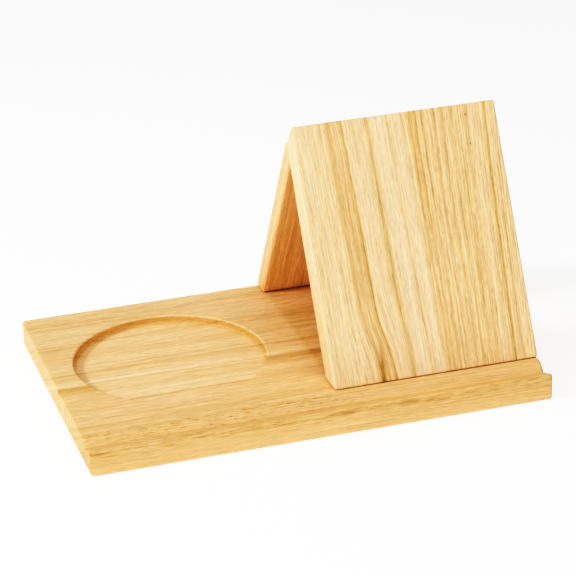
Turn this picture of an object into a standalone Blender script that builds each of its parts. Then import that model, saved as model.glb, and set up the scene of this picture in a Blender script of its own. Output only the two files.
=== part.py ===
"""Wooden tablet stand: a tray with a round recess and a tablet groove, and a folding easel that stands on it.

The tray is three edge-glued staves. The easel is a front panel and a rear leg, each of two edge-glued
staves, joined inside the apex by two small brass butt hinges with countersunk screws.

Metres, +Z up, +X to the right along the groove, -Y the side that the user faces.
The origin is the centre of the tray's underside.
"""

from math import cos, pi, radians, sin, tan

import bmesh
import bpy
from mathutils import Matrix, Vector

# Driving dimensions
TRAY_WIDTH = 0.300
TRAY_DEPTH = 0.196
TRAY_THICK = 0.018
EDGE_ROUND = 0.002
GLUE_GAP = 0.0003
FIT_GAP = 0.0003

# Glue lines of the tray, measured back from its front edge
TRAY_GLUE_LINES = (0.088, 0.146)

# The tablet groove: its lowest line, and the virtual corner of its front lip
GROOVE_BACK = 0.0146
GROOVE_FLOOR_Z = 0.0127
GROOVE_WALL_SLOPE = radians(45)
LIP_HEIGHT = 0.0185

# The round recess
RECESS_RADIUS = 0.0623
RECESS_FROM_LEFT = 0.0788
RECESS_FROM_FRONT = 0.1085
RECESS_DEPTH = 0.0058
RECESS_FILLET = 0.0022
RECESS_RIM_ROUND = 0.0013

# The easel, flush with the tray's right end and back edge
EASEL_WIDTH = 0.137
PANEL_TILT = radians(28.5)
PANEL_THICK = 0.017
PANEL_LENGTH = 0.1687
PANEL_FOOT_BACK = 0.0245
PANEL_TOP_CUT = radians(33)
PANEL_GLUE_LINE = 0.076
LEG_TILT = radians(30.5)
LEG_THICK = 0.013
LEG_GLUE_LINE = 0.058
PANEL_ROUND = 0.0018
SEAM_GAP = 0.0004

# The hinges
HINGE_INSET = 0.028
HINGE_WIDTH = 0.025
LEAF_LENGTH = 0.0145
LEAF_THICK = 0.0011
KNUCKLE_RADIUS = 0.0017
PIN_RADIUS = 0.0008
PIN_CLEARANCE = 0.00008
PIN_HEAD = 0.0012
SCREW_SPREAD = 0.0075
SCREW_ALONG = 0.0090
SCREW_HEAD_RADIUS = 0.0018
SCREW_SHANK_RADIUS = 0.0009
SCREW_LENGTH = 0.0080
DRIVE_WIDTH = 0.0004
DRIVE_SPAN = 0.0022
DRIVE_DEPTH = 0.0006

WOOD_ROUGHNESS = 0.55
BRASS = (0.72, 0.53, 0.22)
STEEL = (0.55, 0.54, 0.52)
PALE_WOOD = (0.82, 0.62, 0.36)
GOLDEN_WOOD = (0.76, 0.52, 0.26)
WARM_WOOD = (0.70, 0.45, 0.20)

EASEL_LEFT = TRAY_WIDTH / 2 - EASEL_WIDTH
FOOT_Z = TRAY_THICK + FIT_GAP


def clear_scene():
    for obj in list(bpy.data.objects):
        bpy.data.objects.remove(obj, do_unlink=True)


def make_collection(name):
    collection = bpy.data.collections.new(name)
    bpy.context.scene.collection.children.link(collection)
    return collection


def make_material(name, colour, roughness, metallic=0.0):
    material = bpy.data.materials.new(name)
    material.use_nodes = True
    shader = material.node_tree.nodes["Principled BSDF"]
    shader.inputs["Base Color"].default_value = (*colour, 1)
    shader.inputs["Roughness"].default_value = roughness
    shader.inputs["Metallic"].default_value = metallic
    return material


def mesh_object(name, mesh, collection):
    obj = bpy.data.objects.new(name, mesh)
    collection.objects.link(obj)
    return obj


def evaluated_mesh(obj):
    """The object's mesh in world space with its modifiers applied and loose caps welded."""
    bpy.context.view_layer.update()
    depsgraph = bpy.context.evaluated_depsgraph_get()
    mesh = bpy.data.meshes.new_from_object(obj.evaluated_get(depsgraph))
    mesh.transform(obj.matrix_world)
    work = bmesh.new()
    work.from_mesh(mesh)
    bmesh.ops.remove_doubles(work, verts=work.verts, dist=1e-7)
    bmesh.ops.recalc_face_normals(work, faces=work.faces)
    work.to_mesh(mesh)
    work.free()
    return mesh


def bake(obj):
    """Replaces the object's data with its evaluated world-space mesh."""
    mesh = evaluated_mesh(obj)
    name = obj.name
    collection = obj.users_collection[0]
    bpy.data.objects.remove(obj, do_unlink=True)
    return mesh_object(name, mesh, collection)


def boolean(obj, other, operation):
    """Applies one exact Boolean and removes the other object."""
    modifier = obj.modifiers.new(operation.lower(), "BOOLEAN")
    modifier.object = other
    modifier.operation = operation
    modifier.solver = "EXACT"
    result = bake(obj)
    bpy.data.objects.remove(other, do_unlink=True)
    return result


def box(name, low, high, collection):
    """A box from its lowest and highest corners."""
    mesh = bpy.data.meshes.new(name)
    work = bmesh.new()
    bmesh.ops.create_cube(work, size=1)
    size = Vector(high) - Vector(low)
    middle = (Vector(high) + Vector(low)) / 2
    bmesh.ops.transform(work, matrix=Matrix.Translation(middle) @ Matrix.Diagonal((*size, 1)), verts=work.verts)
    work.to_mesh(mesh)
    work.free()
    return mesh_object(name, mesh, collection)


def cylinder_along_x(name, radius, start, end, collection, sides=20):
    """A round bar on the X axis from start to end."""
    mesh = bpy.data.meshes.new(name)
    work = bmesh.new()
    bmesh.ops.create_cone(work, cap_ends=True, segments=sides, radius1=radius, radius2=radius, depth=end - start)
    turn = Matrix.Rotation(pi / 2, 4, "Y")
    bmesh.ops.transform(work, matrix=Matrix.Translation(((start + end) / 2, 0, 0)) @ turn, verts=work.verts)
    work.to_mesh(mesh)
    work.free()
    return mesh_object(name, mesh, collection)


def prism_along_x(name, outline, start, end, collection):
    """A flat outline of (y, z) points, extruded along X from start to end."""
    curve = bpy.data.curves.new(name, "CURVE")
    curve.dimensions = "2D"
    curve.fill_mode = "BOTH"
    curve.extrude = (end - start) / 2
    spline = curve.splines.new("POLY")
    spline.points.add(len(outline) - 1)
    for point, (y, z) in zip(spline.points, outline):
        point.co = (y, z, 0, 1)
    spline.use_cyclic_u = True
    obj = mesh_object(name, curve, collection)
    middle = (start + end) / 2
    obj.matrix_world = Matrix(((0, 0, 1, middle), (1, 0, 0, 0), (0, 1, 0, 0), (0, 0, 0, 1)))
    obj = bake(obj)
    merge_flat_faces(obj.data)
    return obj


def merge_flat_faces(mesh):
    work = bmesh.new()
    work.from_mesh(mesh)
    bmesh.ops.dissolve_limit(work, angle_limit=radians(0.5), verts=work.verts, edges=work.edges)
    work.to_mesh(mesh)
    work.free()


def turned(name, profile, collection, steps):
    """A solid of revolution about Z, from (radius, z) points that run down its outer side."""
    mesh = bpy.data.meshes.new(name)
    vertices = [(r, 0, z) for r, z in profile]
    edges = [(i, i + 1) for i in range(len(profile) - 1)]
    mesh.from_pydata(vertices, edges, [])
    obj = mesh_object(name, mesh, collection)
    screw = obj.modifiers.new("turn", "SCREW")
    screw.axis = "Z"
    screw.steps = steps
    screw.render_steps = steps
    screw.use_merge_vertices = True
    screw.merge_threshold = 0.00001
    return bake(obj)


def round_edges(obj, width, segments):
    bevel = obj.modifiers.new("rounded edges", "BEVEL")
    bevel.width = width
    bevel.segments = segments
    bevel.limit_method = "ANGLE"
    bevel.angle_limit = radians(20)
    return bake(obj)


def arc(centre, radius, start, end, count):
    """Points on an arc about centre, from angle start to end."""
    angles = [start + (end - start) * i / count for i in range(count + 1)]
    return [(centre[0] + radius * cos(a), centre[1] + radius * sin(a)) for a in angles]


def from_front(distance):
    """The Y of a line that far back from the tray's front edge."""
    return distance - TRAY_DEPTH / 2


def tray_blank(cutters):
    """The whole tray in one piece, with its groove, recess and rounded edges."""
    wall_run = (TRAY_THICK - GROOVE_FLOOR_Z) / tan(GROOVE_WALL_SLOPE)
    outline = [
        (from_front(0), 0),
        (from_front(TRAY_DEPTH), 0),
        (from_front(TRAY_DEPTH), TRAY_THICK),
        (from_front(GROOVE_BACK + wall_run), TRAY_THICK),
        (from_front(GROOVE_BACK), GROOVE_FLOOR_Z),
        (from_front(0), LIP_HEIGHT),
    ]
    tray = prism_along_x("tray_blank", outline, -TRAY_WIDTH / 2, TRAY_WIDTH / 2, cutters)
    tray = round_edges(tray, EDGE_ROUND, 3)
    return boolean(tray, recess_cutter(cutters), "DIFFERENCE")


def recess_cutter(cutters):
    """The space that the recess takes out of the tray: flat floor, filleted wall, eased rim."""
    floor = TRAY_THICK - RECESS_DEPTH
    rim = (RECESS_RADIUS + RECESS_RIM_ROUND, TRAY_THICK - RECESS_RIM_ROUND)
    foot = (RECESS_RADIUS - RECESS_FILLET, floor + RECESS_FILLET)
    above = TRAY_THICK + EDGE_ROUND
    profile = [(0, above), (rim[0], above)]
    profile += arc(rim, RECESS_RIM_ROUND, pi / 2, pi, 3)
    profile += arc(foot, RECESS_FILLET, 0, -pi / 2, 4)
    profile.append((0, floor))
    cutter = turned("recess_cutter", profile, cutters, 72)
    x = RECESS_FROM_LEFT - TRAY_WIDTH / 2
    cutter.data.transform(Matrix.Translation((x, from_front(RECESS_FROM_FRONT), 0)))
    return cutter


def slab_between(axis, low, high, cutters):
    """A large block that keeps only what lies between two planes across X (0) or Y (1)."""
    corner_low = [-1, -1, -1]
    corner_high = [1, 1, 1]
    corner_low[axis] = low
    corner_high[axis] = high
    return box("slab", corner_low, corner_high, cutters)


def staves_of(blank, names, axis, lines, collection, cutters):
    """Cuts a blank into staves at its glue lines, with a thin gap at each line."""
    staves = []
    bounds = [-0.5, *lines, 0.5]
    for name, low, high in zip(names, bounds, bounds[1:]):
        stave = mesh_object(name, blank.data.copy(), collection)
        slab = slab_between(axis, low + GLUE_GAP / 2, high - GLUE_GAP / 2, cutters)
        staves.append(boolean(stave, slab, "INTERSECT"))
    bpy.data.objects.remove(blank, do_unlink=True)
    return staves


def make_tray(collection, cutters, woods):
    names = ("tray_front_stave", "tray_middle_stave", "tray_back_stave")
    lines = [from_front(line) for line in TRAY_GLUE_LINES]
    staves = staves_of(tray_blank(cutters), names, 1, lines, collection, cutters)
    for stave, wood in zip(staves, woods):
        finish(stave, wood)


def panel_lines():
    """Foot, up and back directions of the front panel in the YZ plane."""
    foot = Vector((from_front(PANEL_FOOT_BACK), FOOT_Z))
    up = Vector((sin(PANEL_TILT), cos(PANEL_TILT)))
    back = Vector((cos(PANEL_TILT), -sin(PANEL_TILT)))
    return foot, up, back


def leg_lines():
    """Outer foot corner, up and front directions of the rear leg in the YZ plane."""
    foot = Vector((TRAY_DEPTH / 2, FOOT_Z))
    up = Vector((-sin(LEG_TILT), cos(LEG_TILT)))
    front = Vector((-cos(LEG_TILT), -sin(LEG_TILT)))
    return foot, up, front


def crossing(point_a, way_a, point_b, way_b):
    """Where two lines in the YZ plane meet."""
    across = way_a.x * way_b.y - way_a.y * way_b.x
    offset = point_b - point_a
    along = (offset.x * way_b.y - offset.y * way_b.x) / across
    return point_a + way_a * along


def easel_blank(name, outline, cutters):
    blank = prism_along_x(name, outline, EASEL_LEFT, EASEL_LEFT + EASEL_WIDTH, cutters)
    return round_edges(blank, PANEL_ROUND, 3)


def panel_outline():
    """The front panel from the side: level foot, parallel faces, top bevelled back."""
    foot, up, back = panel_lines()
    level = Vector((1, 0))
    behind = foot + back * PANEL_THICK
    top = foot + up * PANEL_LENGTH
    cut = Vector((sin(PANEL_TOP_CUT), -cos(PANEL_TOP_CUT)))
    return [foot, crossing(foot, level, behind, up), crossing(top, cut, behind, up), top]


def leg_outline():
    """The rear leg from the side: level foot, parallel faces, top bevelled to lie on the panel's back."""
    foot, up, front = leg_lines()
    panel_foot, panel_up, back = panel_lines()
    seat = panel_foot + back * (PANEL_THICK + SEAM_GAP)
    level = Vector((1, 0))
    inside = foot + front * LEG_THICK
    return [
        foot,
        crossing(foot, up, seat, panel_up),
        crossing(inside, up, seat, panel_up),
        crossing(foot, level, inside, up),
    ]


def hinge_axis():
    """The point in the YZ plane where the pins run, level with both inner faces."""
    panel_foot, panel_up, back = panel_lines()
    leg_foot, leg_up, front = leg_lines()
    reach = KNUCKLE_RADIUS + FIT_GAP
    on_panel = panel_foot + back * (PANEL_THICK + reach)
    on_leg = leg_foot + front * (LEG_THICK + reach)
    return crossing(on_panel, panel_up, on_leg, leg_up)


def leaf_frame(along, inward, x):
    """Places a hinge side: local Y runs along the leaf, local Z points away from the wood."""
    axis = hinge_axis()
    across = along.x * inward.y - along.y * inward.x
    rows = (
        (across, 0, 0, x),
        (0, along.x, inward.x, axis.x),
        (0, along.y, inward.y, axis.y),
        (0, 0, 0, 1),
    )
    return Matrix(rows)


def leaf_blank(name, knuckles, collection, cutters):
    """A hinge leaf on the pin's axis: the plate, its rolled knuckles, the pin's bore and countersinks."""
    low = -KNUCKLE_RADIUS
    clear = KNUCKLE_RADIUS + FIT_GAP
    half = HINGE_WIDTH / 2
    leaf = box(name, (-half, clear, low), (half, LEAF_LENGTH, low + LEAF_THICK), collection)
    for start, end in knuckles:
        web = box("web", (start, 0, low), (end, clear + LEAF_THICK, low + LEAF_THICK), cutters)
        leaf = boolean(leaf, web, "UNION")
        leaf = boolean(leaf, cylinder_along_x("knuckle", KNUCKLE_RADIUS, start, end, cutters), "UNION")
    bore = cylinder_along_x("bore", PIN_RADIUS + PIN_CLEARANCE, -half * 2, half * 2, cutters)
    leaf = boolean(leaf, bore, "DIFFERENCE")
    for side in (-1, 1):
        cutter = turned("countersink", screw_profile(FIT_GAP), cutters, 16)
        cutter.data.transform(screw_place(side))
        leaf = boolean(leaf, cutter, "DIFFERENCE")
    return leaf


def screw_profile(grow):
    """A countersunk screw about Z with its head flush at z = 0, grown by a clearance."""
    head = SCREW_HEAD_RADIUS + grow
    shank = SCREW_SHANK_RADIUS + grow
    neck = shank - head
    tip = -SCREW_LENGTH - grow
    top = [(0, grow), (head, grow)] if grow else [(0, 0)]
    return top + [(head, 0), (shank, neck), (shank, tip + shank), (0, tip)]


def screw_place(side):
    """Where a screw sits in the frame of its leaf."""
    return Matrix.Translation((side * SCREW_SPREAD, SCREW_ALONG, LEAF_THICK - KNUCKLE_RADIUS))


def make_screw(name, place, collection, cutters):
    screw = turned(name, screw_profile(0), collection, 16)
    half = DRIVE_SPAN / 2
    thin = DRIVE_WIDTH / 2
    for low, high in (((-half, -thin), (half, thin)), ((-thin, -half), (thin, half))):
        slot = box("drive", (*low, -DRIVE_DEPTH), (*high, DRIVE_DEPTH), cutters)
        screw = boolean(screw, slot, "DIFFERENCE")
    screw.data.transform(place)
    return screw


def knuckle_spans():
    """The X spans of the two panel knuckles and of the leg knuckle between them."""
    half = HINGE_WIDTH / 2
    middle = HINGE_WIDTH / 6
    outer = [(-half, -middle - FIT_GAP / 2), (middle + FIT_GAP / 2, half)]
    inner = [(-middle + FIT_GAP / 2, middle - FIT_GAP / 2)]
    return outer, inner


def make_hinge(side_name, x, collection, cutters, brass, steel):
    """One butt hinge. Returns the places of its screws on the panel and on the leg."""
    outer, inner = knuckle_spans()
    panel_up, back = panel_lines()[1:]
    leg_up, front = leg_lines()[1:]
    places = {}
    for member, along, inward, spans in (
        ("panel", -panel_up, back, outer),
        ("leg", -leg_up, front, inner),
    ):
        frame = leaf_frame(along, inward, x)
        leaf = leaf_blank(f"hinge_{side_name}_{member}_leaf", spans, collection, cutters)
        leaf.data.transform(frame)
        finish(leaf, brass)
        places[member] = [frame @ screw_place(side) for side in (-1, 1)]
        for number, place in enumerate(places[member], 1):
            screw = make_screw(f"hinge_{side_name}_{member}_screw_{number}", place, collection, cutters)
            finish(screw, steel)
    finish(make_pin(f"hinge_{side_name}_pin", x, collection, cutters), brass)
    return places


def make_pin(name, x, collection, cutters):
    """The hinge pin with a small riveted head past each outer knuckle."""
    half = HINGE_WIDTH / 2 + FIT_GAP
    pin = cylinder_along_x(name, PIN_RADIUS, -half - PIN_HEAD / 4, half + PIN_HEAD / 4, collection, 16)
    for low, high in ((-half - PIN_HEAD / 2, -half), (half, half + PIN_HEAD / 2)):
        pin = boolean(pin, cylinder_along_x("head", PIN_HEAD, low, high, cutters, 16), "UNION")
    axis = hinge_axis()
    pin.data.transform(Matrix.Translation((x, axis.x, axis.y)))
    return pin


def make_easel(collection, cutters, woods, brass, steel):
    places = {"panel": [], "leg": []}
    hinge_xs = (EASEL_LEFT + HINGE_INSET, EASEL_LEFT + EASEL_WIDTH - HINGE_INSET)
    for side_name, x in zip(("left", "right"), hinge_xs):
        for member, found in make_hinge(side_name, x, collection, cutters, brass, steel).items():
            places[member] += found
    for member, outline, line in (
        ("panel", panel_outline(), PANEL_GLUE_LINE),
        ("leg", leg_outline(), LEG_GLUE_LINE),
    ):
        blank = easel_blank(f"{member}_blank", outline, cutters)
        for place in places[member]:
            blank = boolean(blank, pilot_cutter(place, cutters), "DIFFERENCE")
        names = (f"{member}_left_stave", f"{member}_right_stave")
        staves = staves_of(blank, names, 0, [EASEL_LEFT + line], collection, cutters)
        for stave, wood in zip(staves, woods[member]):
            finish(stave, wood)


def pilot_cutter(place, cutters):
    """The hole that a screw has in the wood."""
    reach = SCREW_SHANK_RADIUS + FIT_GAP
    depth = SCREW_LENGTH + FIT_GAP
    profile = [(0, 0), (reach, 0), (reach, -depth), (0, -depth)]
    cutter = turned("pilot", profile, cutters, 12)
    cutter.data.transform(place)
    return cutter


def finish(obj, material):
    """Gives a finished piece its material and its shading."""
    obj.data.materials.clear()
    obj.data.materials.append(material)
    obj.data.shade_smooth()
    obj.data.set_sharp_from_angle(angle=radians(35))


def move_origin(obj, point):
    """Puts an object's origin at a point without moving its shape."""
    obj.data.transform(Matrix.Translation(-point))
    obj.location = point


def place_on_joint(collection):
    """Hangs every piece of the leg from an empty on the hinge axis."""
    axis = hinge_axis()
    pivot = bpy.data.objects.new("leg_fold_axis", None)
    pivot.location = (EASEL_LEFT + EASEL_WIDTH / 2, axis.x, axis.y)
    collection.objects.link(pivot)
    for obj in list(collection.objects):
        if obj is not pivot and ("leg_" in obj.name):
            move_origin(obj, pivot.location.copy())
            obj.location = (0, 0, 0)
            obj.parent = pivot


def main():
    clear_scene()
    collection = make_collection("tablet_stand")
    cutters = make_collection("cutters")
    pale = make_material("pale_wood", PALE_WOOD, WOOD_ROUGHNESS)
    golden = make_material("golden_wood", GOLDEN_WOOD, WOOD_ROUGHNESS)
    warm = make_material("warm_wood", WARM_WOOD, WOOD_ROUGHNESS)
    brass = make_material("brass", BRASS, 0.3, 1.0)
    steel = make_material("screw_steel", STEEL, 0.35, 1.0)
    make_tray(collection, cutters, (golden, pale, golden))
    easel_woods = {"panel": (pale, golden), "leg": (golden, warm)}
    make_easel(collection, cutters, easel_woods, brass, steel)
    place_on_joint(collection)


main()
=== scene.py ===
"""Looks of the wooden tablet stand: finely rounded staves of solid wood, brass hinges, floor and light.

The staves are rebuilt here with smoother rounding than the CAD solids and stand in for them. The hinges and
screws stay CAD nodes and get their materials. Metres, in the frame of the CAD part.
"""

from collections import namedtuple
from math import cos, pi, radians, sin, tan

import bmesh
import bpy
from mathutils import Matrix, Vector


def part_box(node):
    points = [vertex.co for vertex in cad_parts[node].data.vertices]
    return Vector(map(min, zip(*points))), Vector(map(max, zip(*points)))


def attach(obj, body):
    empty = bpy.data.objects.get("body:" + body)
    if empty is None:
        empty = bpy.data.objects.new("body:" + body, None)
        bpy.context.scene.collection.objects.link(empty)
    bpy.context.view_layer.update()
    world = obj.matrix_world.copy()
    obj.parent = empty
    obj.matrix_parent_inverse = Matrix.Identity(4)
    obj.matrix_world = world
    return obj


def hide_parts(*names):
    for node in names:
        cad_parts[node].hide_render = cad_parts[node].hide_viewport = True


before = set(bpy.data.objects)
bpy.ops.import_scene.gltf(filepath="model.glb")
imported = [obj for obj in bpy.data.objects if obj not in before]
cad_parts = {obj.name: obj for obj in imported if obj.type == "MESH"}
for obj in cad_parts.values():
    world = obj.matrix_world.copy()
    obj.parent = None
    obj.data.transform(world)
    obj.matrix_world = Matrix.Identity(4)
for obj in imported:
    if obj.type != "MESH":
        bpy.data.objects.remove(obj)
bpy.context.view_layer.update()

MM = 0.001

# Sizes that the CAD boxes give
TRAY_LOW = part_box("tray_front_stave")[0]
TRAY_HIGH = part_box("tray_back_stave")[1]
EASEL_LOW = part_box("panel_left_stave")[0]
EASEL_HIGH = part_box("panel_right_stave")[1]
TRAY_WIDTH = TRAY_HIGH.x - TRAY_LOW.x
TRAY_DEPTH = TRAY_HIGH.y - TRAY_LOW.y
TRAY_THICK = 18 * MM
EASEL_WIDTH = EASEL_HIGH.x - EASEL_LOW.x
FOOT_Z = EASEL_LOW.z

# The profile that they don't give
EDGE_ROUND = 2 * MM
GROOVE_BACK = 14.6 * MM
GROOVE_FLOOR_Z = 12.7 * MM
GROOVE_WALL_SLOPE = radians(45)
LIP_HEIGHT = 18.5 * MM
RECESS_RADIUS = 62.3 * MM
RECESS_FROM_LEFT = 78.8 * MM
RECESS_FROM_FRONT = 108.5 * MM
RECESS_DEPTH = 5.8 * MM
RECESS_FILLET = 2.2 * MM
RECESS_RIM_ROUND = 1.3 * MM
PANEL_TILT = radians(28.5)
PANEL_THICK = 17 * MM
PANEL_LENGTH = 168.6 * MM
PANEL_FOOT_BACK = 24.5 * MM
PANEL_TOP_CUT = radians(33)
PANEL_ROUND = 1.8 * MM
LEG_TILT = radians(30.5)
LEG_THICK = 13 * MM
SEAM_GAP = 0.4 * MM

# Glue lines, in mm from the tray's front edge and from the easel's left side
TRAY_GLUE = (88, 146)
PANEL_GLUE = 76
LEG_GLUE = 58

# How finely the pieces are made
EDGE_SEGMENTS = 6
RECESS_STEPS = 180
GLUE_SEAM = 0.02 * MM
# A distance that reaches past every side of the object
FAR = 0.5

# Tones of the wood, from 0 for the palest to 1 for the darkest ring
WOOD_TONES = (
    (0.00, (0.88, 0.60, 0.36)),
    (0.22, (0.84, 0.54, 0.275)),
    (0.42, (0.79, 0.465, 0.205)),
    (0.62, (0.70, 0.385, 0.125)),
    (0.82, (0.50, 0.24, 0.052)),
    (1.00, (0.28, 0.125, 0.03)),
)
# How far the tray's rings move back for each mm of depth
TRAY_RING_TILT = 1.9

# The studio: how bright its sky and the floor's own glow are, and half the floor's side
SKY_STRENGTH = 0.44
FLOOR_GLOW = 0.47
FLOOR_REACH = 4


# ---------------------------------------------------------------- mesh tools


def collection_named(name):
    made = bpy.data.collections.new(name)
    bpy.context.scene.collection.children.link(made)
    return made


def mesh_object(name, mesh):
    obj = bpy.data.objects.new(name, mesh)
    LOOKS.objects.link(obj)
    return obj


def bake(obj):
    """Replaces the object's data with its evaluated mesh."""
    bpy.context.view_layer.update()
    depsgraph = bpy.context.evaluated_depsgraph_get()
    mesh = bpy.data.meshes.new_from_object(obj.evaluated_get(depsgraph))
    work = bmesh.new()
    work.from_mesh(mesh)
    bmesh.ops.remove_doubles(work, verts=work.verts, dist=1e-7)
    bmesh.ops.recalc_face_normals(work, faces=work.faces)
    work.to_mesh(mesh)
    work.free()
    obj.modifiers.clear()
    obj.data = mesh
    return obj


def boolean(obj, other, operation):
    """Applies one exact Boolean and removes the other object."""
    modifier = obj.modifiers.new(operation.lower(), "BOOLEAN")
    modifier.object = other
    modifier.operation = operation
    modifier.solver = "EXACT"
    bake(obj)
    bpy.data.objects.remove(other, do_unlink=True)
    return obj


def round_edges(obj, width):
    bevel = obj.modifiers.new("rounded edges", "BEVEL")
    bevel.width = width
    bevel.segments = EDGE_SEGMENTS
    bevel.limit_method = "ANGLE"
    bevel.angle_limit = radians(20)
    return bake(obj)


def prism_along_x(name, outline, start, end):
    """A flat outline of (y, z) points, extruded along X from start to end."""
    work = bmesh.new()
    face = work.faces.new([work.verts.new((start, y, z)) for y, z in outline])
    grown = bmesh.ops.extrude_face_region(work, geom=[face])["geom"]
    far = [part for part in grown if isinstance(part, bmesh.types.BMVert)]
    bmesh.ops.translate(work, vec=(end - start, 0, 0), verts=far)
    bmesh.ops.recalc_face_normals(work, faces=work.faces)
    mesh = bpy.data.meshes.new(name)
    work.to_mesh(mesh)
    work.free()
    return mesh_object(name, mesh)


def turned(name, profile, steps):
    """A solid of revolution about Z, from (radius, z) points that run down its outer side."""
    mesh = bpy.data.meshes.new(name)
    mesh.from_pydata([(r, 0, z) for r, z in profile], [(i, i + 1) for i in range(len(profile) - 1)], [])
    obj = mesh_object(name, mesh)
    screw = obj.modifiers.new("turn", "SCREW")
    screw.axis = "Z"
    screw.steps = steps
    screw.render_steps = steps
    screw.use_merge_vertices = True
    screw.merge_threshold = 0.00001
    return bake(obj)


def slab_between(axis, low, high):
    """A large block that keeps only what lies between two planes across X (0) or Y (1)."""
    work = bmesh.new()
    bmesh.ops.create_cube(work, size=2)
    size = [1, 1, 1]
    size[axis] = (high - low) / 2
    middle = Vector()
    middle[axis] = (high + low) / 2
    to_place = Matrix.Translation(middle) @ Matrix.Diagonal((*size, 1))
    bmesh.ops.transform(work, matrix=to_place, verts=work.verts)
    mesh = bpy.data.meshes.new("slab")
    work.to_mesh(mesh)
    work.free()
    return mesh_object("slab", mesh)


def arc(centre, radius, start, end, count):
    """Points on an arc about centre, from angle start to end."""
    angles = [start + (end - start) * i / count for i in range(count + 1)]
    return [(centre[0] + radius * cos(a), centre[1] + radius * sin(a)) for a in angles]


def crossing(point_a, way_a, point_b, way_b):
    """Where two lines in the YZ plane meet."""
    across = way_a.x * way_b.y - way_a.y * way_b.x
    offset = point_b - point_a
    along = (offset.x * way_b.y - offset.y * way_b.x) / across
    return point_a + way_a * along


def smooth_shading(obj):
    """Rounded edges shade smoothly and flat faces stay flat."""
    obj.data.shade_smooth()
    obj.data.set_sharp_from_angle(angle=radians(35))
    weighted = obj.modifiers.new("flat faces stay flat", "WEIGHTED_NORMAL")
    weighted.keep_sharp = True
    weighted.weight = 100


# ---------------------------------------------------------------- the staves


def from_front(distance):
    """The Y of a line that far back from the tray's front edge."""
    return TRAY_LOW.y + distance


def recess_centre():
    """The axis of the round recess, at the height of the tray's underside."""
    return Vector((TRAY_LOW.x + RECESS_FROM_LEFT, from_front(RECESS_FROM_FRONT), 0))


def tray_blank():
    """The whole tray in one piece, with its groove, recess and rounded edges."""
    wall_run = (TRAY_THICK - GROOVE_FLOOR_Z) / tan(GROOVE_WALL_SLOPE)
    outline = [
        (from_front(0), 0),
        (from_front(TRAY_DEPTH), 0),
        (from_front(TRAY_DEPTH), TRAY_THICK),
        (from_front(GROOVE_BACK + wall_run), TRAY_THICK),
        (from_front(GROOVE_BACK), GROOVE_FLOOR_Z),
        (from_front(0), LIP_HEIGHT),
    ]
    tray = round_edges(prism_along_x("tray_blank", outline, TRAY_LOW.x, TRAY_HIGH.x), EDGE_ROUND)
    return boolean(tray, recess_cutter(), "DIFFERENCE")


def recess_cutter():
    """The space that the recess takes out of the tray: flat floor, filleted wall, eased rim."""
    floor = TRAY_THICK - RECESS_DEPTH
    rim = (RECESS_RADIUS + RECESS_RIM_ROUND, TRAY_THICK - RECESS_RIM_ROUND)
    foot = (RECESS_RADIUS - RECESS_FILLET, floor + RECESS_FILLET)
    above = TRAY_THICK + EDGE_ROUND
    profile = [(0, above), (rim[0], above)]
    profile += arc(rim, RECESS_RIM_ROUND, pi / 2, pi, 6)
    profile += arc(foot, RECESS_FILLET, 0, -pi / 2, 10)
    profile.append((0, floor))
    cutter = turned("recess_cutter", profile, RECESS_STEPS)
    cutter.data.transform(Matrix.Translation(recess_centre()))
    return cutter


def panel_lines():
    """Foot, up and back directions of the front panel in the YZ plane."""
    foot = Vector((from_front(PANEL_FOOT_BACK), FOOT_Z))
    up = Vector((sin(PANEL_TILT), cos(PANEL_TILT)))
    back = Vector((cos(PANEL_TILT), -sin(PANEL_TILT)))
    return foot, up, back


def leg_lines():
    """Outer foot corner, up and front directions of the rear leg in the YZ plane."""
    foot = Vector((TRAY_HIGH.y, FOOT_Z))
    up = Vector((-sin(LEG_TILT), cos(LEG_TILT)))
    front = Vector((-cos(LEG_TILT), -sin(LEG_TILT)))
    return foot, up, front


def panel_blank():
    """The front panel: level foot, parallel faces, top bevelled back."""
    foot, up, back = panel_lines()
    level = Vector((1, 0))
    behind = foot + back * PANEL_THICK
    top = foot + up * PANEL_LENGTH
    cut = Vector((sin(PANEL_TOP_CUT), -cos(PANEL_TOP_CUT)))
    outline = [foot, crossing(foot, level, behind, up), crossing(top, cut, behind, up), top]
    return round_edges(prism_along_x("panel_blank", outline, EASEL_LOW.x, EASEL_HIGH.x), PANEL_ROUND)


def leg_blank():
    """The rear leg: level foot, parallel faces, top bevelled to lie on the panel's back."""
    foot, up, front = leg_lines()
    panel_foot, panel_up, back = panel_lines()
    seat = panel_foot + back * (PANEL_THICK + SEAM_GAP)
    inside = foot + front * LEG_THICK
    outline = [
        foot,
        crossing(foot, up, seat, panel_up),
        crossing(inside, up, seat, panel_up),
        crossing(foot, Vector((1, 0)), inside, up),
    ]
    return round_edges(prism_along_x("leg_blank", outline, EASEL_LOW.x, EASEL_HIGH.x), PANEL_ROUND)


def glue_line(node, next_node, axis):
    """Where two neighbouring staves meet, halfway across the CAD gap between them."""
    return (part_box(node)[1][axis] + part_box(next_node)[0][axis]) / 2


def make_staves(blank, nodes, axis, body, slots, woods):
    """Cuts a blank at its glue lines. Each stave stands for its CAD node and rides on its body."""
    lines = [glue_line(node, after, axis) for node, after in zip(nodes, nodes[1:])]
    bounds = [-FAR, *lines, FAR]
    for node, low, high, slot, wood in zip(nodes, bounds, bounds[1:], slots, woods):
        stave = mesh_object(node.replace("stave", "wood"), blank.data.copy())
        boolean(stave, slab_between(axis, low + GLUE_SEAM / 2, high - GLUE_SEAM / 2), "INTERSECT")
        smooth_shading(stave)
        stave.data.materials.clear()
        stave.data.materials.append(wood)
        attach(stave, body)
        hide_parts(node)
    bpy.data.objects.remove(blank, do_unlink=True)


# ---------------------------------------------------------------- shader tools


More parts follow.
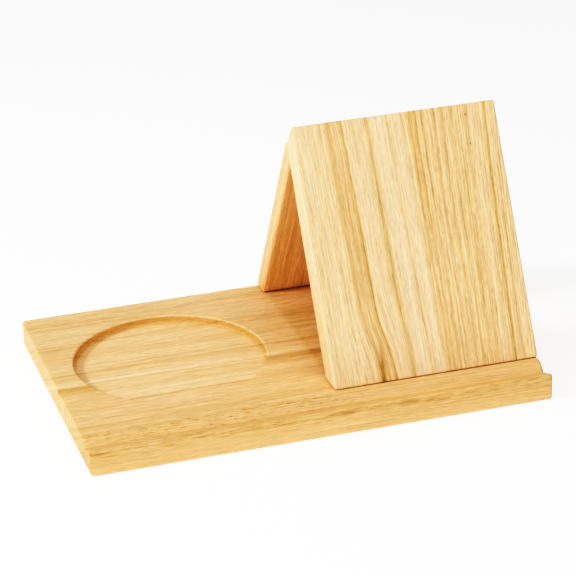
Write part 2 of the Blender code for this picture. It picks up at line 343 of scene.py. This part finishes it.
class Graph:
    """Short calls that add shader nodes to a new material and link them."""

    def __init__(self, name):
        self.material = bpy.data.materials.new(name)
        self.material.use_nodes = True
        self.tree = self.material.node_tree
        self.shader = self.tree.nodes["Principled BSDF"]

    def node(self, kind, *values, **settings):
        made = self.tree.nodes.new(kind)
        for key, value in settings.items():
            setattr(made, key, value)
        for socket, value in zip(made.inputs, values):
            self.feed(socket, value)
        return made

    def feed(self, socket, value):
        """Links an output socket, or sets a plain value."""
        if isinstance(value, bpy.types.NodeSocket):
            self.tree.links.new(value, socket)
        elif value is not None:
            socket.default_value = value

    def math(self, operation, first, second=0.0):
        return self.node("ShaderNodeMath", first, second, operation=operation).outputs[0]

    def add(self, first, *others):
        for other in others:
            first = self.math("ADD", first, other)
        return first

    def times(self, first, second):
        return self.math("MULTIPLY", first, second)

    def dot(self, vector, direction):
        made = self.node("ShaderNodeVectorMath", vector, direction, operation="DOT_PRODUCT")
        return made.outputs["Value"]

    def vector(self, x, y, z):
        return self.node("ShaderNodeCombineXYZ", x, y, z).outputs[0]

    def ease(self, value, low, high, start=0.0, end=1.0):
        """Goes smoothly from start to end while value goes from low to high."""
        made = self.node("ShaderNodeMapRange", value, low, high, start, end, interpolation_type="SMOOTHSTEP")
        return made.outputs[0]

    def noise(self, place, stretch, seed, detail=2.0, rough=0.5):
        """Noise about zero, from about -0.5 to 0.5, whose features have the size of stretch."""
        scaled = self.node("ShaderNodeVectorMath", place, [1 / s for s in stretch], operation="MULTIPLY")
        shift = (seed, seed * 0.7, seed * 1.3)
        moved = self.node("ShaderNodeVectorMath", scaled.outputs[0], shift, operation="ADD")
        made = self.node("ShaderNodeTexNoise", noise_dimensions="3D")
        self.feed(made.inputs["Vector"], moved.outputs[0])
        made.inputs["Scale"].default_value = 1
        made.inputs["Detail"].default_value = detail
        made.inputs["Roughness"].default_value = rough
        return self.math("SUBTRACT", made.outputs["Fac"], 0.5)

    def ramp(self, value, stops):
        """Looks the value up between stops, each a position with a grey level or a colour."""
        made = self.node("ShaderNodeValToRGB", value)
        ramp = made.color_ramp
        while len(ramp.elements) < len(stops):
            ramp.elements.new(0.5)
        for element, (position, colour) in zip(ramp.elements, stops):
            element.position = position
            element.color = (*colour, 1) if isinstance(colour, tuple) else (colour, colour, colour, 1)
        return made.outputs["Color"]

    def bump(self, height, distance, strength):
        made = self.node("ShaderNodeBump")
        made.inputs["Strength"].default_value = strength
        made.inputs["Distance"].default_value = distance
        self.feed(made.inputs["Height"], height)
        return made.outputs["Normal"]


# ---------------------------------------------------------------- wood


def streak_tone(g, rings, width, streaks, edge):
    """What the streaks of a board add to its tone: (place, gradual side, sharp side, strength), in mm.

    Every second streak is in the same ramp, so that neighbours can overlap.
    """
    total = 0.0
    for turn in (0, 1):
        stops = [(0.0, 0.5 + (edge if turn == 0 else 0))]
        for place, before, after, strength in streaks[turn::2]:
            start = max(place - before, stops[-1][0] * width + 0.05)
            stops.append((start / width, 0.5))
            stops.append((place / width, 0.5 + strength))
            stops.append((min((place + after) / width, 1.0), 0.5))
        total = g.add(g.ramp(g.times(rings, 1 / width), stops), -0.5, total)
    return total


# A corner of a board's face, and its directions along the grain, across it and into the wood
Face = namedtuple("Face", "origin grain across inward")
# A place in a board, in the scene and in mm along the grain, across it and into the wood
Spot = namedtuple("Spot", "place along side depth seed")


def mixed(g, start, *parts):
    """Start plus each part times its own strength."""
    return g.add(start, *[g.times(part, strength) for part, strength in parts])


def yearly_rings(g, rings, grown, seed, spacing, strength):
    """Thin late-wood lines: each ring darkens slowly and ends sharply."""
    count = g.add(g.times(rings, 1 / spacing), g.times(g.noise(grown, (400, 9, 400), seed + 7), 1.2))
    saw = g.math("POWER", g.math("FRACT", count), 5)
    return g.times(g.times(saw, strength), g.add(g.noise(grown, (40, 4, 30), seed + 9, 3), 0.75))


def board(name, face, width, streaks, base=0.25, edge=0.0, tilt=0.0, years=(4.0, 0.1), coarse=1.0, seed=1.0,
          shape=None, marks=()):
    """A solid wood material for one board.

    All three board coordinates are zero at the face's origin, and every length is in mm. Base is the board's
    plain tone, and edge what its first ring adds. Tilt is how far the rings move across for each mm of depth.
    Years gives the spacing and strength of its yearly rings, and coarse the strength of its fibres. Shape
    bends the rings, and each mark adds a feature at its own place.
    """
    g = Graph(name)
    place = g.node("ShaderNodeTexCoord").outputs["Object"]
    local = g.node("ShaderNodeVectorMath", place, face.origin, operation="SUBTRACT").outputs[0]
    ways = (face.grain, face.across, face.inward)
    along, side, depth = [g.times(g.dot(local, way), 1 / MM) for way in ways]
    plain = g.vector(along, side, depth)
    spot = Spot(place, along, side, depth, seed)

    sway = g.times(g.noise(plain, (75, 30, 30), seed), 3.0)
    ripple = g.times(g.noise(plain, (14, 5, 5), seed + 3), 1.1)
    rings = g.add(side, g.times(depth, -tilt), sway, ripple)
    if shape:
        rings = shape(g, spot, rings)
    grown = g.vector(along, rings, depth)

    fade = g.add(g.noise(grown, (45, 6, 30), seed + 5, 3), 1.0)
    streak = g.times(streak_tone(g, rings, width, streaks, edge), fade)
    year = yearly_rings(g, rings, grown, seed, *years)
    lines = g.times(g.noise(grown, (110, 0.9, 0.9), seed + 19, 3, 0.6), coarse)
    fibre = g.times(g.noise(grown, (15, 0.5, 0.5), seed + 11, 4, 0.65), coarse)
    mottle = g.times(g.noise(grown, (4.5, 1.4, 1.4), seed + 13, 3), coarse)
    cloud = g.noise(grown, (80, 16, 16), seed + 15)
    pores = g.ease(g.noise(grown, (3.4, 0.32, 0.32), seed + 17, 1), 0.10, 0.24)
    marked = g.add(0.0, *[mark(g, spot) for mark in marks])

    # Each feature shifts the hue along the wood's tones, and also darkens what comes out
    tone = mixed(
        g, base, (streak, 0.8), (year, 0.8), (lines, 0.15), (fibre, 0.10), (mottle, 0.08), (cloud, 0.24),
        (marked, 1),
    )
    light = mixed(
        g, 1.0, (streak, -0.36), (year, -0.45), (lines, -0.75), (fibre, -1.15), (mottle, -0.36),
        (pores, -0.12), (marked, -0.45),
    )
    wood = g.ramp(tone, WOOD_TONES)
    shade = g.vector(light, light, light)
    colour = g.node("ShaderNodeVectorMath", wood, shade, operation="MULTIPLY").outputs[0]
    g.feed(g.shader.inputs["Base Color"], colour)
    g.feed(g.shader.inputs["Roughness"], mixed(g, 0.56, (fibre, -0.2), (pores, 0.1)))
    height = mixed(g, 0.0, (fibre, 0.5), (pores, -0.6), (year, -0.3))
    g.feed(g.shader.inputs["Normal"], g.bump(height, 0.05 * MM, 0.5))
    return g.material


# ---------------------------------------------------------------- the tray's wood


def tray_board(name, front, back, streaks, marks=(), **more):
    """A tray stave: grain along X, ring places measured back from its front edge."""
    corner = (TRAY_LOW.x, from_front(front * MM), TRAY_THICK)
    face = Face(corner, (1, 0, 0), (0, 1, 0), (0, 0, -1))
    # Among these marks, painted shade darkens the recess's wall and the tray's top under the easel.
    marks = (recess_wall_shade_and_pale_floor, end_grain, painted_shade_under_easel, *marks)
    return board(name, face, back - front, streaks, tilt=TRAY_RING_TILT, marks=marks, **more)


def at_recess_floor(g, spot, start=0.0, end=1.0):
    """Goes from start to end just above the depth of the recess's floor."""
    floor = RECESS_DEPTH / MM
    return g.ease(spot.depth, floor - 1.3, floor - 0.3, start, end)


def recess_wall_shade_and_pale_floor(g, spot):
    """Painted shade darkens the steep part of the recess's wall, and the recess's floor is left a little
    paler.
    """
    off = g.node("ShaderNodeVectorMath", spot.place, tuple(recess_centre()), operation="SUBTRACT").outputs[0]
    flat = g.node("ShaderNodeVectorMath", off, (1 / MM, 1 / MM, 0), operation="MULTIPLY").outputs[0]
    radius = g.node("ShaderNodeVectorMath", flat, operation="LENGTH").outputs["Value"]
    foot = (RECESS_RADIUS - RECESS_FILLET) / MM
    outside = RECESS_RADIUS / MM + 1.7
    steep = g.times(g.ease(radius, foot, foot + 1.5), g.ease(spot.depth, 0.3, 1.3))
    # painted shade on the steep wall, fading out past the rim
    wall = g.times(steep, g.ease(radius, outside + 2, outside, 0, 0.27))
    floor = g.times(g.ease(radius, foot, foot - 1), at_recess_floor(g, spot, 0, -0.06))
    return g.add(wall, floor)


def painted_shade_under_easel(g, spot):
    """Painted shade: the tray's top is darkened under the easel, where its panel and leg shade it."""
    left = (EASEL_LOW.x - TRAY_LOW.x) / MM
    front_edge = TRAY_LOW.y / MM
    back = g.times(g.dot(spot.place, (0, 1, 0)), 1 / MM)
    inside = g.times(g.ease(spot.along, left, left + 5), g.ease(back, front_edge + 40, front_edge + 60))
    return g.times(g.times(inside, g.ease(spot.depth, 1, 0.2)), 0.14)


def end_grain(g, spot):
    """The ends of the tray have drunk more oil."""
    length = TRAY_WIDTH / MM
    left = g.ease(spot.along, 2, 0.5, 0, 0.18)
    right = g.ease(spot.along, length - 2, length - 0.5, 0, 0.18)
    return g.add(left, right)


def weathered_lip(g, spot):
    """Brown patches along the top of the front face, over a paler lower part."""
    front = g.ease(spot.side, 2.6, 1.4)
    torn = g.noise(g.vector(spot.along, 0, spot.depth), (12, 1, 2.2), spot.seed + 37, 4, 0.65)
    patches = g.ease(torn, -0.12, 0.16)
    upper = g.times(patches, g.times(g.ease(spot.depth, 11, 2), g.ease(spot.depth, 0, 1.5, 0.35, 1)))
    lower = g.ease(spot.depth, 9, 15, 0, -0.04)
    return g.times(front, g.add(g.times(upper, 0.25), lower))


def pale_floor(g, spot):
    """Deeper in the board a pale band with an orange edge crosses the near part of the recess's floor."""
    sway = g.times(g.noise(g.vector(spot.along, 0, 0), (40, 1, 1), spot.seed + 35), 3)
    back = g.add(spot.side, sway)
    band = g.times(g.ease(back, 70.5, 71.5), g.ease(back, 86, 76, 0, -0.10))
    edge = g.times(g.ease(back, 68, 70.2), g.ease(back, 71.2, 70.4, 0, 0.20))
    return g.times(g.add(band, edge), at_recess_floor(g, spot))


def fibrous_edge(g, spot):
    """Torn brown fibres along the rear edge of the groove, mostly on the left."""
    plain = g.vector(spot.along, spot.side, spot.depth)
    dashes = g.ease(g.noise(plain, (7, 0.9, 0.9), spot.seed + 31, 3, 0.7), 0.02, 0.2)
    zone = g.times(g.ease(spot.side, 7, 15), g.ease(spot.side, 27, 20))
    return g.times(g.times(dashes, zone), g.ease(spot.along, 150, 190, 0.42, 0.10))


def tray_woods():
    """The tray's three staves, from the front. Streaks are (place, gradual side, sharp side, strength)."""
    front = tray_board(
        "tray_front_wood", 0, TRAY_GLUE[0],
        [
            (20.5, 4, 1, 0.20), (31, 5, 3, 0.14), (46, 8, 6, -0.04), (60, 6, 4, 0.05), (72, 8, 5, -0.05),
            (86.4, 12, 1.2, 0.36),
        ],
        base=0.35, edge=0.14, seed=2.0, marks=(fibrous_edge, pale_floor, weathered_lip),
    )
    middle = tray_board(
        "tray_middle_wood", *TRAY_GLUE,
        [(3, 2.5, 4, -0.27), (17.5, 5, 1.2, 0.22), (30, 6, 5, -0.05), (42, 6, 2, 0.08), (56, 8, 1.5, 0.16)],
        base=0.32, seed=5.0, years=(6.0, 0.10),
    )
    back = tray_board(
        "tray_back_wood", TRAY_GLUE[1], TRAY_DEPTH / MM,
        [(0.8, 0.7, 5, 0.20), (20, 8, 6, -0.06), (36, 10, 3, 0.10), (47, 3, 2, -0.08)],
        base=0.29, seed=8.0, years=(7.0, 0.08),
    )
    return front, middle, back


# ---------------------------------------------------------------- the easel's wood


def easel_face(left, lines):
    """The outer face of a panel or leg stave: grain up the board, places measured from its left edge."""
    foot, up, inward = lines
    corner = (EASEL_LOW.x + left * MM, foot.x, foot.y)
    return Face(corner, (0, up.x, up.y), (1, 0, 0), (0, inward.x, inward.y))


def painted_shadow_at_foot(g, spot):
    """Painted contact shadow: the lowest mm of an easel board, just above the tray, is darkened."""
    height = g.times(g.add(g.dot(spot.place, (0, 0, 1)), -TRAY_THICK), 1 / MM)
    return g.ease(height, 0.9, 0.4, 0, 0.55)


def from_top(g, spot):
    """How far down the panel a place is from its top edge."""
    return g.add(PANEL_LENGTH / MM, g.times(spot.along, -1))


def swirl_at_foot(g, spot, rings):
    """The rings drift to the right down the panel, and more near its foot, round a small swirl."""
    low = g.ease(spot.along, 52, 0)
    lean = g.times(g.times(low, g.ease(spot.side, 14, 30)), g.ease(spot.side, 60, 40))
    return g.add(rings, g.times(from_top(g, spot), -0.020), g.times(lean, -6.0))


def rings_that_fan(g, spot, rings):
    """The rings spread from the foot of the panel to its top."""
    return g.add(rings, g.times(g.times(spot.side, from_top(g, spot)), 0.001))


def dull_edge(g, spot):
    """A brownish zone beside the glue line, which fades towards the foot."""
    return g.times(g.ease(spot.side, 9, 5, 0, 0.15), g.ease(spot.along, 60, 120, 0.3, 1))


def pin_knots(g, spot):
    """Two tiny knots near the top of the board."""
    total = 0.0
    for height in (142, 161):
        off = g.vector(g.add(spot.side, -40), g.times(g.add(spot.along, -height), 0.6), 0)
        near = g.node("ShaderNodeVectorMath", off, operation="LENGTH").outputs["Value"]
        total = g.add(g.ease(near, 0.7, 0.25, 0, 0.5), total)
    return total


def swirl_mark(g, spot):
    """The dark fibrous mark inside the swirl."""
    off = g.add(spot.side, g.times(spot.along, -0.02), -33.5)
    across = g.ease(g.math("ABSOLUTE", off), 3.6, 0)
    up = g.times(g.ease(spot.along, 28, 8), g.ease(spot.depth, 6, 0))
    plain = g.vector(spot.along, spot.side, spot.depth)
    torn = g.add(g.noise(plain, (7, 1.0, 1.0), spot.seed + 33, 3, 0.7), 0.75)
    return g.times(g.times(g.times(across, up), torn), 0.60)


def panel_woods():
    """The front panel's two staves, from the left."""
    left = board(
        "panel_left_wood", easel_face(0, panel_lines()), PANEL_GLUE,
        [
            (3, 2, 0.8, 0.10), (6.5, 1.5, 0.8, 0.06), (10.5, 1.5, 0.8, 0.04), (15.2, 1.6, 0.8, 0.12),
            (18.5, 1.5, 0.8, 0.08), (23.5, 3.5, 3.5, 0.42), (28, 3.0, 3.0, 0.36), (32.7, 3.4, 1.0, 0.62),
            (49, 4.4, 2.6, 0.40), (59, 6, 3, -0.12), (63.2, 1.4, 0.8, 0.18), (68.5, 4, 3, -0.12),
            (73.2, 1.6, 1.1, 0.26),
        ],
        base=0.14, coarse=1.1, seed=11.0, years=(3.4, 0.03), shape=swirl_at_foot,
        marks=(painted_shadow_at_foot, swirl_mark),
    )
    right = board(
        "panel_right_wood", easel_face(PANEL_GLUE, panel_lines()), EASEL_WIDTH / MM - PANEL_GLUE,
        [
            (2.5, 2, 0.8, 0.22), (6.2, 2, 0.8, 0.26), (11, 2.6, 0.7, 0.32), (14.2, 1.8, 0.6, 0.16),
            (18, 2.2, 0.7, 0.28), (24, 2.8, 0.8, 0.34), (30, 2.8, 0.8, 0.30), (35.5, 2.4, 0.8, 0.24),
            (40.5, 2, 0.8, 0.18), (46, 3, 1.5, -0.08), (54, 2.0, 1.0, 0.58), (59.5, 1.8, 0.9, 0.22),
        ],
        base=0.22, coarse=1.4, seed=14.0, years=(2.1, 0.17), shape=rings_that_fan,
        marks=(painted_shadow_at_foot, dull_edge, pin_knots),
    )
    return left, right


def leg_woods():
    """The rear leg's two staves, from the left, measured on its outer face."""
    left = board(
        "leg_left_wood", easel_face(0, leg_lines()), LEG_GLUE,
        [(6, 3, 1, 0.10), (15, 5, 1.5, 0.13), (27, 6, 1.5, 0.12), (41, 5, 1.5, 0.12)],
        base=0.37, seed=17.0, years=(4.5, 0.06), marks=(painted_shadow_at_foot,),
    )
    right = board(
        "leg_right_wood", easel_face(LEG_GLUE, leg_lines()), EASEL_WIDTH / MM - LEG_GLUE,
        [(8, 4, 1, 0.16), (24, 6, 1.5, 0.2), (43, 7, 1.5, 0.18), (60, 6, 1.5, 0.16)],
        base=0.40, seed=20.0, years=(5.5, 0.1), marks=(painted_shadow_at_foot,),
    )
    return left, right


# ---------------------------------------------------------------- metals


def metal(name, colour, dark, roughness, scratch):
    """A satin metal with fine scratches, small tone changes and slightly dull patches."""
    g = Graph(name)
    place = g.node("ShaderNodeTexCoord").outputs["Object"]
    local = g.node("ShaderNodeVectorMath", place, (1 / MM,) * 3, operation="MULTIPLY").outputs[0]
    lines = g.noise(local, scratch, 2.0, 4, 0.65)
    patches = g.noise(local, (2.2, 2.2, 2.2), 6.0, 3)
    shade = g.add(0.5, g.times(lines, 0.8), g.times(patches, 0.9))
    g.feed(g.shader.inputs["Base Color"], g.ramp(shade, ((0.15, dark), (0.6, colour))))
    g.feed(g.shader.inputs["Roughness"], g.add(roughness, g.times(patches, 0.25), g.times(lines, 0.15)))
    g.feed(g.shader.inputs["Normal"], g.bump(lines, 0.02 * MM, 0.35))
    g.shader.inputs["Metallic"].default_value = 1.0
    return g.material


def finish_metals():
    """Gives the hinges and screws, which stay CAD nodes, their metals."""
    brass = metal("hinge_brass", (0.78, 0.56, 0.24), (0.52, 0.34, 0.12), 0.30, (6, 0.12, 0.12))
    steel = metal("screw_zinc", (0.72, 0.71, 0.69), (0.42, 0.42, 0.42), 0.32, (0.5, 0.12, 0.12))
    for node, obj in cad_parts.items():
        if node.startswith("hinge_"):
            obj.data.materials.clear()
            obj.data.materials.append(steel if "screw" in node else brass)


# ---------------------------------------------------------------- floor, light and camera


def make_floor():
    """A white acrylic sheet, faintly lit from below."""
    work = bmesh.new()
    bmesh.ops.create_grid(work, x_segments=1, y_segments=1, size=FLOOR_REACH)
    mesh = bpy.data.meshes.new("floor")
    work.to_mesh(mesh)
    work.free()
    floor = mesh_object("floor", mesh)
    floor.location.z = TRAY_LOW.z
    g = Graph("floor_white")
    g.shader.inputs["Base Color"].default_value = (0.93, 0.93, 0.925, 1)
    g.shader.inputs["Roughness"].default_value = 0.8
    g.shader.inputs["Emission Color"].default_value = (1, 1, 1, 1)
    g.shader.inputs["Emission Strength"].default_value = FLOOR_GLOW
    floor.data.materials.append(g.material)


def soft_box(name, azimuth, elevation, distance, size, power):
    """A square area light that faces the object. Azimuth 0 is in front of it and -90 on its left."""
    light = bpy.data.lights.new(name, "AREA")
    light.shape = "SQUARE"
    light.size = size
    light.energy = power
    obj = bpy.data.objects.new(name, light)
    LOOKS.objects.link(obj)
    a = radians(azimuth)
    e = radians(elevation)
    way = Vector((sin(a) * cos(e), -cos(a) * cos(e), sin(e)))
    obj.location = way * distance
    obj.rotation_mode = "QUATERNION"
    obj.rotation_quaternion = way.to_track_quat("Z", "Y")


def make_lights():
    """An even white sky, a small key from the left and two large fills."""
    world = bpy.data.worlds.new("studio")
    world.use_nodes = True
    sky = world.node_tree.nodes["Background"].inputs
    sky["Color"].default_value = (1.0, 1.0, 1.0, 1)
    sky["Strength"].default_value = SKY_STRENGTH
    bpy.context.scene.world = world
    soft_box("key_left", azimuth=-86, elevation=33, distance=1.6, size=0.26, power=14)
    soft_box("fill_front_left", azimuth=-35, elevation=28, distance=1.8, size=1.2, power=7)
    soft_box("overhead", azimuth=20, elevation=70, distance=1.6, size=1.0, power=8)


# Print contrast: scene light against shown light, both linear
CONTRAST = (
    (0.05, 0.010),
    (0.10, 0.036),
    (0.20, 0.135),
    (0.35, 0.33),
    (0.50, 0.51),
    (0.80, 0.78),
    (1.10, 0.92),
)
WHITE = 1.6


def set_contrast():
    """Deep warm shadows and soft highlights, as in print."""
    view = bpy.context.scene.view_settings
    view.view_transform = "Standard"
    view.look = "None"
    view.use_curve_mapping = True
    mapping = view.curve_mapping
    mapping.white_level = (WHITE,) * 3
    combined = mapping.curves[3]
    for light, shown in CONTRAST:
        combined.points.new(light / WHITE, shown)
    mapping.update()


CAMERA_AZIMUTH = radians(-16.54)
CAMERA_ELEVATION = radians(24.734)
CAMERA_ROLL = radians(-1.683)
CAMERA_DISTANCE = 1.6678
CAMERA_TARGET = Vector((-0.00493, -0.038, 0.07691))
CAMERA_LENS = 166.52


def make_camera():
    """A long lens from the front left, slightly above."""
    a, e, r = CAMERA_AZIMUTH, CAMERA_ELEVATION, CAMERA_ROLL
    back = Vector((sin(a) * cos(e), -cos(a) * cos(e), sin(e)))
    right = Vector((cos(a), sin(a), 0))
    up = back.cross(right)
    turn = Matrix((cos(r) * right + sin(r) * up, cos(r) * up - sin(r) * right, back)).transposed()
    data = bpy.data.cameras.new("camera")
    data.lens = CAMERA_LENS
    data.sensor_width = 36
    data.clip_end = 20
    camera = bpy.data.objects.new("camera", data)
    LOOKS.objects.link(camera)
    camera.matrix_world = Matrix.Translation(CAMERA_TARGET + back * CAMERA_DISTANCE) @ turn.to_4x4()
    bpy.context.scene.camera = camera


LOOKS = collection_named("looks")

tray_finish = tray_woods()
panel_finish = panel_woods()
leg_finish = leg_woods()
make_staves(
    tray_blank(), ("tray_front_stave", "tray_middle_stave", "tray_back_stave"), 1,
    "tray", ("golden_wood", "pale_wood", "golden_wood"), tray_finish,
)
make_staves(
    panel_blank(), ("panel_left_stave", "panel_right_stave"), 0,
    "easel_panel", ("pale_wood", "golden_wood"), panel_finish,
)
make_staves(
    leg_blank(), ("leg_left_stave", "leg_right_stave"), 0,
    "easel_leg", ("golden_wood", "warm_wood"), leg_finish,
)
finish_metals()
make_floor()
make_lights()
set_contrast()
make_camera()
